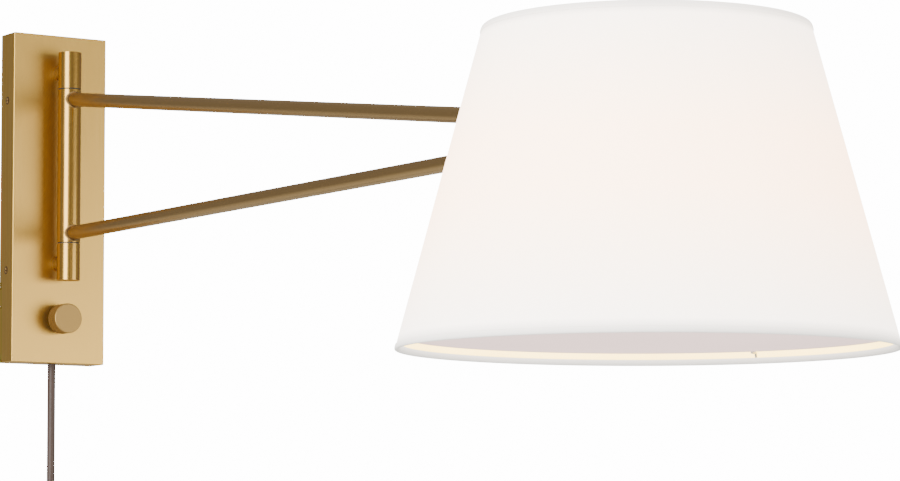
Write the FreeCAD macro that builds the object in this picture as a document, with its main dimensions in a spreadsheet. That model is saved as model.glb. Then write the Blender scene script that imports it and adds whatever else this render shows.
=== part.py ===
"""Swing arm wall sconce: wall plate, swivel column, two-rod arm, fabric shade, dimmer and supply cord.

Millimetres. The wall is the plane Y = 0 and the sconce stands off it towards -Y. +Z is up and +X is to
the right of somebody who faces the wall. The origin is the middle of the plate's wall face.
"""
import FreeCAD, Part
import math
import os
import re
import Sketcher

SIZES = {
    # wall plate and its bracket
    "plate_width": 71.0,
    "plate_height": 228.6,
    "plate_depth": 20.0,
    "plate_skin": 1.6,
    "plate_edge": 0.8,
    "bracket_height": 190.0,
    "bracket_lift": 6.0,
    "bracket_skin": 1.5,
    "bracket_flange": 15.0,
    "bracket_window_width": 34.0,
    "bracket_window_height": 40.0,
    "bracket_window_lift": 34.0,
    "wall_screw_spacing": 120.0,
    "wall_slot_width": 5.0,
    "wall_slot_length": 12.0,
    "cover_screw_spacing": 118.0,
    "cover_screw_lift": 8.4,
    "cover_screw_diameter": 3.0,
    "cover_screw_length": 6.0,
    "cover_screw_head": 5.6,
    "cover_screw_sink": 1.2,
    # column: two fixed knuckles with the swivel tube between them
    "column_diameter": 15.9,
    "column_offset": 14.5,
    "column_lift": 21.35,
    "knuckle_length": 25.2,
    "swivel_span": 107.7,
    "swivel_wall": 1.5,
    "pivot_diameter": 9.0,
    "pivot_bore": 6.0,
    "pivot_depth": 7.6,
    "pivot_plug": 1.7,
    "bush_wall": 1.45,
    "bush_flange": 0.5,
    "bush_length": 8.0,
    "wire_chamber_depth": 19.0,
    # posts between plate and knuckles
    "post_diameter": 10.4,
    "post_thread": 8.0,
    "post_bore": 5.0,
    "washer_thickness": 0.8,
    "washer_diameter": 15.0,
    "nut_height": 3.2,
    "nut_across": 13.0,
    # swing arm
    "arm_diameter": 9.5,
    "arm_wall": 1.2,
    "arm_inset": 7.1,
    "arm_reach": 673.0,
    "arm_meet": 17.0,
    "hub_web": 1.3,
    "hub_rod_depth": 15.0,
    "hub_cheek": 2.75,
    "hub_wall": 1.25,
    "hub_ring_wall": 5.0,
    "hub_riser_gap": 11.7,
    "hub_wire_hole": 5.0,
    "hub_bore_ease": 0.25,
    "hub_screw_diameter": 4.0,
    # lamp socket and bulb
    "socket_gap": 1.2,
    "socket_skin": 1.5,
    "socket_length": 50.0,
    "socket_rim_drop": 9.6,
    "socket_cap_height": 8.0,
    "socket_dome_height": 5.0,
    "socket_dome_radius": 9.0,
    "socket_insulator_height": 15.0,
    "screw_shell_diameter": 28.6,
    "screw_shell_skin": 0.6,
    "screw_shell_length": 29.0,
    "contact_diameter": 9.0,
    "contact_height": 2.0,
    "ring_nut_height": 4.5,
    "ring_nut_wall": 5.0,
    "bulb_radius": 30.0,
    "bulb_shoulder_angle": 72.0,
    "bulb_skin": 0.8,
    "bulb_thread_gap": 1.2,
    "bulb_base_length": 25.0,
    # shade
    "shade_height": 172.0,
    "shade_top_radius": 87.0,
    "shade_bottom_radius": 133.35,
    "shade_below_arm": 118.5,
    "fabric_skin": 0.8,
    "liner_skin": 0.6,
    "hem_height": 3.4,
    "hem_proud": 0.5,
    "hem_inside": 1.2,
    "hem_wire": 2.0,
    "spider_wire": 3.0,
    "spider_washer_wall": 9.0,
    "spider_washer_thickness": 1.5,
    "diffuser_recess": 6.7,
    "diffuser_thickness": 2.5,
    "clip_wire": 1.4,
    "clip_hook": 5.0,
    "clip_angle": 64.0,
    "eyelet_lip": 2.6,
    "eyelet_skin": 0.8,
    # dimmer
    "dimmer_lift": 30.4,
    "dimmer_width": 24.0,
    "dimmer_height": 30.0,
    "dimmer_depth": 12.6,
    "dimmer_bushing_diameter": 9.0,
    "dimmer_bushing_length": 4.4,
    "dimmer_nut_across": 12.0,
    "dimmer_nut_height": 2.6,
    "dimmer_shaft_diameter": 6.0,
    "dimmer_shaft_root": 4.5,
    "knob_diameter": 20.6,
    "knob_length": 11.0,
    "knob_bevel": 0.4,
    "knob_gap": 4.6,
    "knob_grip": 8.0,
    "knob_screw_diameter": 3.0,
    # supply cord and inner wires
    "cord_diameter": 5.5,
    "cord_setback": 10.0,
    "relief_width": 12.0,
    "relief_depth": 11.0,
    "relief_height": 9.0,
    "relief_neck": 7.8,
    "lead_diameter": 2.6,
    "lead_depth": 12.0,
    "base_lead_bend": 3.4,
    "lamp_lead_bend": 4.0,
    "coil_radius": 31.5,
    "coil_section": 9.0,
    "coil_drop": 290.0,
    "tie_width": 8.0,
    "tie_skin": 1.0,
    "tail_length": 33.0,
    "plug_length": 34.0,
    "plug_width": 24.0,
    "plug_thickness": 15.0,
    "blade_spacing": 12.7,
    "blade_width": 6.35,
    "blade_thickness": 1.5,
    "blade_length": 17.5,
    # fits
    "running_fit": 0.05,
    "body_gap": 0.3,
    "wire_gap": 0.3,
    "bracket_gap": 0.1,
    "rod_gap": 2.0,
}

UP = FreeCAD.Rotation()
DOWN = FreeCAD.Rotation(FreeCAD.Vector(1, 0, 0), 180)
ALONG_Y_OUT = FreeCAD.Rotation(FreeCAD.Vector(1, 0, 0), 90)
ALONG_Y_IN = FreeCAD.Rotation(FreeCAD.Vector(1, 0, 0), -90)
ALONG_X = FreeCAD.Rotation(FreeCAD.Vector(0, 1, 0), 90)
ALONG_X_LEFT = FreeCAD.Rotation(FreeCAD.Vector(0, 1, 0), -90)

doc = FreeCAD.newDocument("swing_arm_sconce")
sheet = doc.addObject("Spreadsheet::Sheet", "Sizes")
for row, (alias, number) in enumerate(SIZES.items(), start=1):
    sheet.set(f"A{row}", alias)
    sheet.set(f"B{row}", str(number))
    sheet.setAlias(f"B{row}", alias)
doc.recompute()

# Places worked out from the sheet, as expressions on it.
PLATE_FRONT = "(-plate_depth)"
COLUMN_Y = "(-plate_depth - column_offset)"
SPAN_LOW = "(column_lift - swivel_span / 2)"
SPAN_HIGH = "(column_lift + swivel_span / 2)"
TUBE_LENGTH = "(swivel_span - 2 * (bush_flange + body_gap))"
TUBE_LOW = "(column_lift - swivel_span / 2 + bush_flange + body_gap)"
TUBE_INNER = "(column_diameter / 2 - swivel_wall)"
LOWER_ARM = "(column_lift - swivel_span / 2 + arm_inset)"
UPPER_ARM = "(column_lift + swivel_span / 2 - arm_inset)"
ARM_RISE = "(swivel_span - 2 * arm_inset)"
ARM_SLOPE = f"({ARM_RISE} / (arm_reach + arm_meet))"
SHADE_Y = "(-plate_depth - column_offset - arm_reach)"
SHADE_LOW = f"({LOWER_ARM} - shade_below_arm)"
SHADE_SLOPE = "((shade_bottom_radius - shade_top_radius) / shade_height)"
HUB_HEIGHT = "(arm_diameter + 2 * hub_wall)"
ROD_END = f"((arm_diameter + hub_web) / {ARM_SLOPE} - arm_meet)"
HUB_START = f"({ROD_END} + hub_rod_depth)"
RISER = f"({ROD_END} - hub_riser_gap)"
RING_LOW = f"({LOWER_ARM} - {HUB_HEIGHT} / 2)"
SOCKET_RADIUS = "(screw_shell_diameter / 2 + socket_gap + socket_skin)"
SOCKET_LOW = f"({RING_LOW} - socket_rim_drop)"
SOCKET_HIGH = f"({SOCKET_LOW} + socket_length)"
BULB_NECK = "(screw_shell_diameter / 2 - screw_shell_skin - bulb_thread_gap)"
DIMMER_Z = "(dimmer_lift - plate_height / 2)"
COLUMN_WALL_BORE = "(pivot_diameter / 2 + running_fit + bush_wall)"


class Place:
    """The sheet's sizes, and the same places, as numbers for the pieces whose shapes are made directly."""
    size = {alias: sheet.get(alias) for alias in SIZES}
    column_y = -size["plate_depth"] - size["column_offset"]
    shade_y = column_y - size["arm_reach"]
    span_low = size["column_lift"] - size["swivel_span"] / 2
    lower_arm = span_low + size["arm_inset"]
    arm_slope = (size["swivel_span"] - 2 * size["arm_inset"]) / (size["arm_reach"] + size["arm_meet"])
    riser = (size["arm_diameter"] + size["hub_web"]) / arm_slope - size["arm_meet"] - size["hub_riser_gap"]
    ring_low = lower_arm - size["arm_diameter"] / 2 - size["hub_wall"]
    socket_radius = size["screw_shell_diameter"] / 2 + size["socket_gap"] + size["socket_skin"]
    socket_high = ring_low - size["socket_rim_drop"] + size["socket_length"]
    shade_low = lower_arm - size["shade_below_arm"]
    shade_slope = (size["shade_bottom_radius"] - size["shade_top_radius"]) / size["shade_height"]
    skins = size["fabric_skin"] + size["liner_skin"]


def bound(text):
    """Expression on the sheet: every alias in the text gets the sheet's name in front."""
    return re.sub(r"[a-z][a-z_]+", lambda word: f"Sizes.{word[0]}" if word[0] in SIZES else word[0], text)


def bind(item, place=("0", "0", "0"), turn=UP, **properties):
    """Bind an object's sizes, and the three coordinates of its place, to expressions on the sheet."""
    item.Placement = FreeCAD.Placement(FreeCAD.Vector(), turn)
    for axis, text in zip("xyz", place):
        item.setExpression(f".Placement.Base.{axis}", bound(text))
    for name, text in properties.items():
        item.setExpression(name, bound(text))
    return item


def cylinder(name, radius, height, place=("0", "0", "0"), turn=UP):
    return bind(doc.addObject("Part::Cylinder", name), place, turn, Radius=radius, Height=height)


def cone(name, low_radius, high_radius, height, place=("0", "0", "0"), turn=UP):
    item = doc.addObject("Part::Cone", name)
    return bind(item, place, turn, Radius1=low_radius, Radius2=high_radius, Height=height)


def box(name, length, width, height, place):
    """Box whose place is the middle of its lowest face."""
    corner = (f"{place[0]} - ({length}) / 2", f"{place[1]} - ({width}) / 2", place[2])
    return bind(doc.addObject("Part::Box", name), corner, Length=length, Width=width, Height=height)


def hexagon(name, across, height, place, turn=UP):
    item = doc.addObject("Part::Prism", name)
    item.Polygon = 6
    return bind(item, place, turn, Circumradius=f"({across}) / sqrt(3)", Height=height)


def cut(name, base, *tools):
    item = doc.addObject("Part::Cut", name)
    item.Base = base
    item.Tool = tools[0] if len(tools) == 1 else fuse(f"{name}_tools", *tools)
    return item


def fuse(name, *shapes):
    item = doc.addObject("Part::MultiFuse", name)
    item.Shapes = list(shapes)
    return item


def common(name, *shapes):
    item = doc.addObject("Part::MultiCommon", name)
    item.Shapes = list(shapes)
    return item


def group(name, pieces):
    """Identical fasteners in one node, each still a solid of its own."""
    item = doc.addObject("Part::Compound", name)
    item.Links = list(pieces)
    return item


def slot_prism(name, width, height, depth, place):
    """Upright oblong prism that runs from its place towards -Y; the place is the middle of its face."""
    x, y, z = place
    reach = f"(({height}) - ({width})) / 2"
    middle = box(f"{name}_middle", width, depth, f"2 * {reach}",
                 (x, f"{y} - ({depth}) / 2", f"{z} - {reach}"))
    high = cylinder(f"{name}_high", f"({width}) / 2", depth, (x, y, f"{z} + {reach}"), ALONG_Y_OUT)
    low = cylinder(f"{name}_low", f"({width}) / 2", depth, (x, y, f"{z} - {reach}"), ALONG_Y_OUT)
    return fuse(name, middle, high, low)


def shade_skin(name, outside, inside, low, high):
    """Cone shell along the shade's slope, between two offsets inward from its face and two heights."""
    def shell_cone(tag, offset):
        radii = [f"shade_bottom_radius - {SHADE_SLOPE} * ({level}) - ({offset})" for level in (low, high)]
        place = ("0", SHADE_Y, f"{SHADE_LOW} + {low}")
        return cone(f"{name}_{tag}", radii[0], radii[1], f"({high}) - ({low})", place)
    return cut(name, shell_cone("outer", outside), shell_cone("inner", inside))


def new_body(name):
    return doc.addObject("PartDesign::Body", name)


def sketch_on(body, role, name):
    sketch = body.newObject("Sketcher::SketchObject", name)
    plane = [item for item in body.Origin.OriginFeatures if item.Role == role][0]
    sketch.AttachmentSupport = [(plane, "")]
    sketch.MapMode = "FlatFace"
    return sketch


def polygon(sketch, corners):
    """Closed outline whose corners are pairs of expressions on the sheet."""
    count = len(corners)
    start = [FreeCAD.Vector(math.cos(2 * math.pi * k / count), math.sin(2 * math.pi * k / count), 0)
             for k in range(count)]
    first = sketch.GeometryCount
    for k in range(count):
        sketch.addGeometry(Part.LineSegment(start[k], start[(k + 1) % count]), False)
    for k in range(count):
        sketch.addConstraint(Sketcher.Constraint("Coincident", first + k, 2, first + (k + 1) % count, 1))
    for k, corner in enumerate(corners):
        for kind, text in zip(("DistanceX", "DistanceY"), corner):
            index = sketch.addConstraint(Sketcher.Constraint(kind, -1, 1, first + k, 1, 1.0))
            sketch.setExpression(f"Constraints[{index}]", bound(text))


def rectangle(sketch, width, height, across="0", up="0"):
    """Rectangle about a centre."""
    signs = ((-1, -1), (1, -1), (1, 1), (-1, 1))
    polygon(sketch, [(f"{across} + {x} * ({width}) / 2", f"{up} + {y} * ({height}) / 2") for x, y in signs])


def circle(sketch, diameter, across="0", up="0"):
    item = sketch.addGeometry(Part.Circle(FreeCAD.Vector(1, 1, 0), FreeCAD.Vector(0, 0, 1), 2.0), False)
    for kind, text in (("DistanceX", across), ("DistanceY", up)):
        index = sketch.addConstraint(Sketcher.Constraint(kind, -1, 1, item, 3, 1.0))
        sketch.setExpression(f"Constraints[{index}]", bound(text))
    index = sketch.addConstraint(Sketcher.Constraint("Diameter", item, 4.0))
    sketch.setExpression(f"Constraints[{index}]", bound(diameter))


def pad(body, sketch, name, length, reverse=False, midplane=False):
    feature = body.newObject("PartDesign::Pad", name)
    feature.Profile = sketch
    feature.Reversed = reverse
    feature.Midplane = midplane
    feature.setExpression("Length", bound(length))
    return feature


def pocket(body, sketch, name, length=None, reverse=False):
    """Pocket of a bound depth, or a cut right through when no depth is given."""
    feature = body.newObject("PartDesign::Pocket", name)
    feature.Profile = sketch
    feature.Reversed = reverse
    if length is None:
        feature.Type = "ThroughAll"
    else:
        feature.setExpression("Length", bound(length))
    return feature


def wire_between(start, end, diameter):
    """Straight round wire between two points."""
    run = FreeCAD.Vector(*end) - FreeCAD.Vector(*start)
    return Part.makeCylinder(diameter / 2, run.Length, FreeCAD.Vector(*start), run)


def placed_shape(name, shape):
    item = doc.addObject("Part::Feature", name)
    item.Shape = shape
    return item


def tube_along(name, points, diameter, bend=None):
    """Round tube along straight runs joined by tangent arcs.

    Each arc is as large as its two runs allow, or of the given radius where the pieces round it leave
    no more room.
    """
    corners = [FreeCAD.Vector(*point) for point in points]
    edges = []
    radii = []
    last = corners[0]
    for before, corner, after in zip(corners, corners[1:], corners[2:]):
        back = before - corner
        ahead = after - corner
        half_turn = (math.pi - back.getAngle(ahead)) / 2
        radius = bend or 0.45 * min(back.Length, ahead.Length) / math.tan(half_turn)
        reach = radius * math.tan(half_turn)
        back.normalize()
        ahead.normalize()
        entry = corner + back * reach
        leave = corner + ahead * reach
        inward = back + ahead
        inward.normalize()
        middle = corner + inward * (radius / math.cos(half_turn) - radius)
        edges.append(Part.LineSegment(last, entry).toShape())
        edges.append(Part.Arc(entry, middle, leave).toShape())
        radii.append(round(radius, 1))
        last = leave
    edges.append(Part.LineSegment(last, corners[-1]).toShape())
    path = Part.Wire(edges)
    heading = corners[1] - corners[0]
    mouth = Part.Wire([Part.makeCircle(diameter / 2, corners[0], heading)])
    tube = path.makePipeShell([mouth], True, False)
    wanted = math.pi * diameter ** 2 / 4 * path.Length
    print(f"{name}: length {path.Length:.1f} mm, radii {radii}, volume ratio {tube.Volume / wanted:.4f}")
    return placed_shape(name, tube)


# ---------------------------------------------------------------------------------------------
# Wall plate: bracket on the wall, box-shaped cover over it, screws through the cover's sides
# ---------------------------------------------------------------------------------------------

def make_cover_screws():
    screws = []
    for side, inward, outward in ((-1, ALONG_X, ALONG_X_LEFT), (1, ALONG_X_LEFT, ALONG_X)):
        for level in (-1, 1):
            tag = f"cover_screw_{len(screws) + 1}"
            place = (
                f"{side} * plate_width / 2",
                "-plate_depth / 2",
                f"cover_screw_lift + {level} * cover_screw_spacing / 2",
            )
            head = "cover_screw_head / 2"
            thread = "cover_screw_diameter / 2"
            sunk = cone(f"{tag}_sunk", head, thread, "cover_screw_sink", place, inward)
            crown_top = "cover_screw_head / 3"
            crown = cone(f"{tag}_crown", head, crown_top, "cover_screw_sink / 2", place, outward)
            shank = cylinder(f"{tag}_shank", thread, "cover_screw_length", place, inward)
            screws.append(fuse(tag, sunk, crown, shank))
    return group("cover_screws", screws)


def make_cover(screws):
    body = new_body("cover_body")
    outline = sketch_on(body, "XZ_Plane", "cover_outline")
    rectangle(outline, "plate_width", "plate_height")
    block = pad(body, outline, "cover_block", "plate_depth")
    doc.recompute()
    rounded = body.newObject("PartDesign::Fillet", "cover_rounding")
    outer_edges = [f"Edge{index}" for index, edge in enumerate(block.Shape.Edges, start=1)
                   if any(abs(corner.Y) > 0.1 for corner in edge.Vertexes)]
    rounded.Base = (block, outer_edges)
    rounded.setExpression("Radius", bound("plate_edge"))
    hollow = sketch_on(body, "XZ_Plane", "cover_hollow_outline")
    rectangle(hollow, "plate_width - 2 * plate_skin", "plate_height - 2 * plate_skin")
    pocket(body, hollow, "cover_hollow", "plate_depth - plate_skin", reverse=True)
    front = sketch_on(body, "XZ_Plane", "cover_front_holes")
    for level in POST_LEVELS.values():
        circle(front, "post_thread", "0", level)
    circle(front, "dimmer_bushing_diameter", "0", DIMMER_Z)
    pocket(body, front, "cover_front_bores", reverse=True)
    bottom = sketch_on(body, "XY_Plane", "cover_cord_hole")
    circle(bottom, "relief_neck", "0", "-cord_setback")
    pocket(body, bottom, "cover_cord_bore")
    cut("backplate_cover", body, screws)


def make_bracket(screws):
    body = new_body("bracket_body")
    outline = sketch_on(body, "XZ_Plane", "bracket_outline")
    width = "(plate_width - 2 * plate_skin - 2 * bracket_gap)"
    rectangle(outline, width, "bracket_height", "0", "bracket_lift")
    pad(body, outline, "bracket_block", "bracket_flange")
    channel = sketch_on(body, "XZ_Plane", "bracket_channel_outline")
    channel.setExpression(".AttachmentOffset.Base.z", bound("bracket_skin"))
    rectangle(channel, f"{width} - 2 * bracket_skin", "bracket_height + 2 * bracket_skin",
              "0", "bracket_lift")
    pocket(body, channel, "bracket_channel", reverse=True)
    openings = sketch_on(body, "XZ_Plane", "bracket_window_outline")
    rectangle(openings, "bracket_window_width", "bracket_window_height", "0", "bracket_window_lift")
    pocket(body, openings, "bracket_window", reverse=True)
    slots = [slot_prism(f"wall_slot_{tag}", "wall_slot_width", "wall_slot_length", "2 * bracket_skin",
                        ("0", "0", f"bracket_lift + {side} * wall_screw_spacing / 2"))
             for tag, side in (("low", -1), ("high", 1))]
    cut("wall_bracket", body, screws, *slots)


# ---------------------------------------------------------------------------------------------
# Column: posts, knuckles, bushes and the turning tube with its pivot stubs
# ---------------------------------------------------------------------------------------------

POST_LEVELS = {
    "lower": f"({SPAN_LOW} - knuckle_length / 2)",
    "upper": f"({SPAN_HIGH} + knuckle_length / 2)",
}


def make_knuckle_end(end, face, away, toward):
    """Fixed end of the column with its post, nut, washer and bush."""
    level = POST_LEVELS[end]
    place = ("0", COLUMN_Y, face)
    blank = cylinder(f"{end}_knuckle_blank", "column_diameter / 2", "knuckle_length", place, away)
    seat = cylinder(f"{end}_bush_seat", COLUMN_WALL_BORE, "bush_length", place, away)
    chamber = cylinder(f"{end}_wire_chamber", "post_thread / 2", "wire_chamber_depth", place, away)
    axis = ("0", COLUMN_Y, level)
    post_hole = cylinder(f"{end}_post_hole", "post_thread / 2", "column_diameter", axis, ALONG_Y_IN)
    cut(f"{end}_knuckle", blank, seat, chamber, post_hole)

    flange = cylinder(f"{end}_bush_flange", "column_diameter / 2 - body_gap", "bush_flange", place, toward)
    sleeve = cylinder(f"{end}_bush_sleeve", COLUMN_WALL_BORE, "bush_length", place, away)
    bush_blank = fuse(f"{end}_bush_blank", flange, sleeve)
    inner = "pivot_diameter / 2 + running_fit"
    bores = [cylinder(f"{end}_bush_bore_{tag}", inner, "bush_length", place, turn)
             for tag, turn in (("in", away), ("out", toward))]
    cut(f"{end}_bush", bush_blank, *bores)

    plate_face = ("0", PLATE_FRONT, level)
    shoulder = cylinder(f"{end}_post_shoulder", "post_diameter / 2", "column_offset",
                        plate_face, ALONG_Y_OUT)
    saddle = cut(f"{end}_post_saddle", shoulder, blank)
    spigot_end = ("0", f"{COLUMN_Y} + post_thread / 2", level)
    tail = "(plate_skin + washer_thickness + nut_height + plate_edge)"
    spigot_length = f"column_offset - post_thread / 2 + {tail}"
    spigot = cylinder(f"{end}_post_spigot", "post_thread / 2", spigot_length, spigot_end, ALONG_Y_IN)
    bore = cylinder(f"{end}_post_bore", "post_bore / 2", spigot_length, spigot_end, ALONG_Y_IN)
    cut(f"{end}_post", fuse(f"{end}_post_blank", saddle, spigot), bore)

    inside = ("0", f"{PLATE_FRONT} + plate_skin", level)
    washer_blank = cylinder(f"{end}_washer_blank", "washer_diameter / 2", "washer_thickness",
                            inside, ALONG_Y_IN)
    behind = ("0", f"{PLATE_FRONT} + plate_skin + washer_thickness", level)
    nut_blank = hexagon(f"{end}_nut_blank", "nut_across", "nut_height", behind, ALONG_Y_IN)
    return cut(f"{end}_washer", washer_blank, spigot), cut(f"{end}_nut", nut_blank, spigot)


def make_swivel(arm_blanks):
    tube_place = ("0", COLUMN_Y, TUBE_LOW)
    outer = cylinder("tube_outer", "column_diameter / 2", TUBE_LENGTH, tube_place)
    inner = cylinder("tube_inner", TUBE_INNER, TUBE_LENGTH, tube_place)
    cut("swivel_tube", outer, inner, *arm_blanks)
    ends = (("lower", TUBE_LOW, DOWN, UP), ("upper", f"({TUBE_LOW} + {TUBE_LENGTH})", UP, DOWN))
    for end, level, away, toward in ends:
        place = ("0", COLUMN_Y, level)
        pin_length = "body_gap + bush_flange + pivot_depth"
        plug = cylinder(f"{end}_stub_plug", TUBE_INNER, "pivot_plug", place, toward)
        pin = cylinder(f"{end}_stub_pin", "pivot_diameter / 2", pin_length, place, away)
        bores = [cylinder(f"{end}_stub_bore_{tag}", "pivot_bore / 2", length, place, turn)
                 for tag, length, turn in (("plug", "pivot_plug", toward), ("pin", pin_length, away))]
        cut(f"{end}_stub", fuse(f"{end}_stub_blank", plug, pin), *bores)
    return inner


# ---------------------------------------------------------------------------------------------
# Arm: two round rods from the swivel tube to the hub inside the shade
# ---------------------------------------------------------------------------------------------

ROD_RUN = f"(arm_reach - {ROD_END})"


def make_rod_forms():
    """Outer and bore cylinders of both rods, from the column's axis to their ends in the hub."""
    forms = {}
    for tag, radius in (("blank", "arm_diameter / 2"), ("bore", "arm_diameter / 2 - arm_wall")):
        forms["lower", tag] = cylinder(f"lower_arm_{tag}", radius, ROD_RUN,
                                       ("0", COLUMN_Y, LOWER_ARM), ALONG_Y_OUT)
        sloped = cylinder(f"upper_arm_{tag}", radius, f"{ROD_RUN} / cos(atan({ARM_SLOPE}))",
                          ("0", COLUMN_Y, UPPER_ARM), ALONG_Y_OUT)
        sloped.setExpression(".Placement.Rotation.Angle", bound(f"90 deg + atan({ARM_SLOPE})"))
        forms["upper", tag] = sloped
    return forms


def make_hub(forms):
    body = new_body("hub_block")
    profile = sketch_on(body, "YZ_Plane", "hub_profile")
    rear = f"({SHADE_Y} + {HUB_START})"
    front = f"({SHADE_Y} + {SOCKET_RADIUS} + hub_ring_wall / 2)"
    polygon(profile, [
        (rear, RING_LOW),
        (rear, f"{LOWER_ARM} + {ARM_SLOPE} * ({HUB_START} + arm_meet) + {HUB_HEIGHT} / 2"),
        (front, f"{RING_LOW} + {HUB_HEIGHT}"),
        (front, RING_LOW),
    ])
    pad(body, profile, "hub_pad", "arm_diameter + 2 * hub_cheek", midplane=True)
    ring_place = ("0", SHADE_Y, RING_LOW)
    ring = cylinder("hub_ring", f"{SOCKET_RADIUS} + hub_ring_wall", HUB_HEIGHT, ring_place)
    bore = cylinder("hub_socket_bore", SOCKET_RADIUS, HUB_HEIGHT, ring_place)
    lead_in = cylinder("hub_lead_bore", "hub_wire_hole / 2 + hub_bore_ease",
                       "hub_riser_gap + hub_wire_hole",
                       ("0", f"{SHADE_Y} + {ROD_END} + hub_wire_hole", LOWER_ARM), ALONG_Y_OUT)
    lead_up = cylinder("hub_lead_rise", "hub_wire_hole / 2", ARM_RISE,
                       ("0", f"{SHADE_Y} + {RISER}", LOWER_ARM))
    cylinder("hub_set_screw", "hub_screw_diameter / 2", "hub_ring_wall",
             ("0", f"{SHADE_Y} - {SOCKET_RADIUS}", LOWER_ARM), ALONG_Y_OUT)
    screw_hole = cylinder("hub_screw_hole", "hub_screw_diameter / 2", f"{SOCKET_RADIUS} + hub_ring_wall",
                          ("0", SHADE_Y, LOWER_ARM), ALONG_Y_OUT)
    blank = fuse("hub_blank", body, ring)
    rods = (forms["lower", "blank"], forms["upper", "blank"])
    cut("arm_hub", blank, bore, lead_in, lead_up, screw_hole, *rods)


# ---------------------------------------------------------------------------------------------
# Lamp socket and bulb, upright on the shade's axis with the bulb hanging
# ---------------------------------------------------------------------------------------------

def ring_shape(name, outer, inner, height, level):
    """Flat ring about the shade's axis."""
    place = ("0", SHADE_Y, level)
    blank = cylinder(f"{name}_outer", outer, height, place)
    return cut(name, blank, cylinder(f"{name}_inner", inner, height, place))


def make_socket():
    skin = f"({SOCKET_RADIUS} - socket_skin)"
    ring_shape("socket_shell", SOCKET_RADIUS, skin, "socket_length", SOCKET_LOW)
    top = ("0", SHADE_Y, SOCKET_HIGH)
    dome_low = ("0", SHADE_Y, f"{SOCKET_HIGH} + socket_cap_height")
    wall = cylinder("cap_wall", SOCKET_RADIUS, "socket_cap_height", top)
    dome = cone("cap_dome", SOCKET_RADIUS, "socket_dome_radius", "socket_dome_height", dome_low)
    room = cylinder("cap_room", skin, "socket_cap_height", top)
    vault = cone("cap_vault", skin, "socket_dome_radius - socket_skin",
                 "socket_dome_height - socket_skin", dome_low)
    lead_hole = cylinder("cap_lead_hole", "lead_diameter / 2", f"2 * {SOCKET_RADIUS}",
                         ("0", SHADE_Y, f"{SOCKET_HIGH} + socket_cap_height / 2"), ALONG_Y_IN)
    cut("socket_cap", fuse("cap_blank", wall, dome), room, vault, lead_hole)
    insulator_low = f"({SOCKET_HIGH} - socket_insulator_height)"
    cylinder("socket_insulator", skin, "socket_insulator_height", ("0", SHADE_Y, insulator_low))
    ring_shape("socket_screw_shell", "screw_shell_diameter / 2",
               "screw_shell_diameter / 2 - screw_shell_skin", "screw_shell_length",
               f"({insulator_low} - screw_shell_length)")
    cylinder("socket_contact", "contact_diameter / 2", "contact_height",
             ("0", SHADE_Y, f"{insulator_low} - contact_height"))
    ring_shape("socket_ring_nut", f"{SOCKET_RADIUS} + ring_nut_wall", SOCKET_RADIUS,
               "ring_nut_height", f"({RING_LOW} - spider_washer_thickness - ring_nut_height)")
    return f"({insulator_low} - contact_height)"


def bulb_form(tag, radius, neck_radius, neck_level, middle_level):
    """Round bulb with a straight shoulder up to its neck."""
    ball = doc.addObject("Part::Sphere", f"bulb_{tag}_ball")
    bind(ball, ("0", SHADE_Y, middle_level), Radius=radius)
    shoulder_level = f"({middle_level} + ({radius}) * cos(bulb_shoulder_angle))"
    shoulder = cone(f"bulb_{tag}_shoulder", f"({radius}) * sin(bulb_shoulder_angle)", neck_radius,
                    f"{neck_level} - {shoulder_level}", ("0", SHADE_Y, shoulder_level))
    return fuse(f"bulb_{tag}", ball, shoulder)


def make_bulb(base_top):
    neck_level = f"({base_top} - bulb_base_length)"
    cylinder("bulb_base", BULB_NECK, "bulb_base_length", ("0", SHADE_Y, neck_level))
    across = f"(bulb_radius * sin(bulb_shoulder_angle) - {BULB_NECK})"
    drop = f"(bulb_radius * cos(bulb_shoulder_angle) + {across} * tan(bulb_shoulder_angle))"
    middle = f"({neck_level} - {drop})"
    outer = bulb_form("outer", "bulb_radius", BULB_NECK, neck_level, middle)
    inner = bulb_form("inner", "bulb_radius - bulb_skin", f"{BULB_NECK} - bulb_skin", neck_level, middle)
    cut("bulb_glass", outer, inner)


# ---------------------------------------------------------------------------------------------
# Shade: lined fabric cone with hems, wire frame, eyelet for the rods and recessed diffuser
# ---------------------------------------------------------------------------------------------

SKINS = "(fabric_skin + liner_skin)"
WALL_RADIUS = f"(shade_bottom_radius - {SHADE_SLOPE} * shade_below_arm)"
EYELET_RISE = f"({ARM_SLOPE} * ({WALL_RADIUS} + arm_meet))"
EYELET_Z = f"({LOWER_ARM} + {EYELET_RISE} / 2)"


def eyelet_prism(name, margin):
    """Prism through the wall side of the shade, round the opening that the rods pass through."""
    width = f"arm_diameter + 2 * rod_gap + 2 * ({margin})"
    height = f"{EYELET_RISE} + {width}"
    return slot_prism(name, width, height, "shade_top_radius",
                      ("0", f"{SHADE_Y} + shade_bottom_radius", EYELET_Z))


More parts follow.
